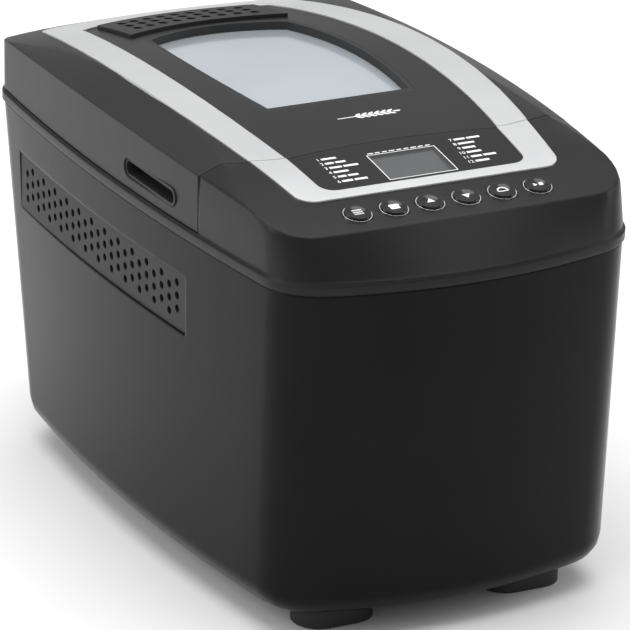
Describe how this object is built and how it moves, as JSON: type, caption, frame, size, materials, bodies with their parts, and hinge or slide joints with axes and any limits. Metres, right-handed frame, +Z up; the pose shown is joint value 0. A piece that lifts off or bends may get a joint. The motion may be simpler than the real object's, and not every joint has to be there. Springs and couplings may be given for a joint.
{
  "type": "bread machine",
  "caption": "Long bread machine with a domed hinged lid, arched viewing window, sloping button panel, side vent grilles and a removable pan with a belt-driven paddle.",
  "frame": {"origin": "on the floor under the middle of the overall box", "axes": "+X to the right seen from the front, +Y from the control panel to the hinge, +Z up"},
  "size_m": [0.214, 0.4032, 0.2353],
  "materials": {
    "black_gloss": "gloss",
    "black_satin": "satin",
    "black_matte": "matte",
    "foot_rubber": "matte",
    "screw_steel": "satin",
    "overlay_gloss": "gloss",
    "satin_silver": "satin",
    "lens_clear": "gloss",
    "lcd_grey": "satin",
    "bright_ring": "polished",
    "board_green": "satin",
    "window_glass": "polished",
    "seal_rubber": "matte",
    "liner_aluminium": "satin",
    "chamber_steel": "satin",
    "element_steel": "satin",
    "cast_metal": "cast",
    "pan_coat": "non-stick satin",
    "bush_brass": "satin",
    "button_gloss": "gloss",
    "pulley_plastic": "satin",
    "belt_rubber": "matte",
    "motor_steel": "satin",
    "capacitor_plastic": "satin"
  },
  "bodies": {
    "base": {"body_shell": "black_gloss", "vent_grille_left": "black_matte", "vent_grille_right": "black_matte", "base_plate": "black_matte", "foot_front_left": "foot_rubber", "foot_front_right": "foot_rubber", "foot_rear_left": "foot_rubber", "foot_rear_right": "foot_rubber", "base_screws": "screw_steel", "cord_gland": "foot_rubber", "top_frame": "black_gloss", "panel_overlay": "overlay_gloss", "panel_trim": "satin_silver", "lcd_lens": "lens_clear", "lcd_module": "lcd_grey", "button_rings": "bright_ring", "control_board": "board_green", "tact_switches": "black_matte", "hinge_pin": "screw_steel", "oven_chamber": "chamber_steel", "heating_element": "element_steel", "temperature_sensor": "screw_steel", "pan_socket": "cast_metal", "drive_belt": "belt_rubber", "motor": "motor_steel", "drive_bracket": "chamber_steel", "bearing_housing": "cast_metal", "capacitor": "capacitor_plastic", "power_board": "board_green", "chamber_screws": "screw_steel"},
    "lid": {"lid_shell": "black_satin", "lid_trim": "satin_silver", "window_bezel": "black_matte", "outer_glass": "window_glass", "inner_glass": "window_glass", "glass_gasket": "seal_rubber", "steam_vent": "black_matte", "lid_liner": "liner_aluminium", "grip_left": "black_matte", "grip_right": "black_matte", "lid_screws": "screw_steel"},
    "menu_button_cap": {"menu_button": "button_gloss"},
    "loaf_button_cap": {"loaf_button": "button_gloss"},
    "time_up_button_cap": {"time_up_button": "button_gloss"},
    "time_down_button_cap": {"time_down_button": "button_gloss"},
    "crust_button_cap": {"crust_button": "button_gloss"},
    "start_button_cap": {"start_button": "button_gloss"},
    "drive": {"drive_shaft": "screw_steel", "drive_coupler": "cast_metal", "large_pulley": "pulley_plastic"},
    "rotor": {"motor_pulley": "cast_metal"},
    "pan": {"bread_pan": "pan_coat", "pan_foot": "cast_metal", "pan_bush": "bush_brass"},
    "bail": {"pan_handle": "screw_steel"},
    "kneader": {"spindle": "screw_steel", "spindle_coupler": "cast_metal", "kneading_paddle": "pan_coat"}
  },
  "joints": [
    {"name": "lid_hinge", "type": "hinge", "parent": "base", "child": "lid", "pos_m": [0, 0.19565, 0.1995], "axis": [-1, 0, 0], "range_deg": [0, 80]},
    {"name": "menu_button_press", "type": "slide", "parent": "base", "child": "menu_button_cap", "axis": [0, 0.2181, -0.9759], "range_m": [0, 0.0008], "stiffness_N_per_m": 300, "springref_m": -0.001},
    {"name": "loaf_button_press", "type": "slide", "parent": "base", "child": "loaf_button_cap", "axis": [0, 0.2181, -0.9759], "range_m": [0, 0.0008], "stiffness_N_per_m": 300, "springref_m": -0.001},
    {"name": "time_up_button_press", "type": "slide", "parent": "base", "child": "time_up_button_cap", "axis": [0, 0.2181, -0.9759], "range_m": [0, 0.0008], "stiffness_N_per_m": 300, "springref_m": -0.001},
    {"name": "time_down_button_press", "type": "slide", "parent": "base", "child": "time_down_button_cap", "axis": [0, 0.2181, -0.9759], "range_m": [0, 0.0008], "stiffness_N_per_m": 300, "springref_m": -0.001},
    {"name": "crust_button_press", "type": "slide", "parent": "base", "child": "crust_button_cap", "axis": [0, 0.2181, -0.9759], "range_m": [0, 0.0008], "stiffness_N_per_m": 300, "springref_m": -0.001},
    {"name": "start_button_press", "type": "slide", "parent": "base", "child": "start_button_cap", "axis": [0, 0.2181, -0.9759], "range_m": [0, 0.0008], "stiffness_N_per_m": 300, "springref_m": -0.001},
    {"name": "drive_spin", "type": "hinge", "parent": "base", "child": "drive", "pos_m": [0, 0.03985, 0.025], "axis": [0, 0, 1], "continuous": true},
    {"name": "motor_spin", "type": "hinge", "parent": "base", "child": "rotor", "pos_m": [0, -0.13565, 0.025], "axis": [0, 0, 1], "continuous": true},
    {"name": "pan_turn", "type": "hinge", "parent": "base", "child": "pan", "pos_m": [0, 0.03985, 0.05], "axis": [0, 0, 1], "range_deg": [0, 8]},
    {"name": "bail_swing", "type": "hinge", "parent": "pan", "child": "bail", "pos_m": [0, 0.03985, 0.162], "axis": [-1, 0, 0], "range_deg": [0, 18]},
    {"name": "kneader_spin", "type": "hinge", "parent": "pan", "child": "kneader", "pos_m": [0, 0.03985, 0.08], "axis": [0, 0, 1], "continuous": true}
  ],
  "couplings": [
    {"joint": "motor_spin", "follows": "drive_spin", "ratio": 4},
    {"joint": "kneader_spin", "follows": "drive_spin", "ratio": 1}
  ]
}
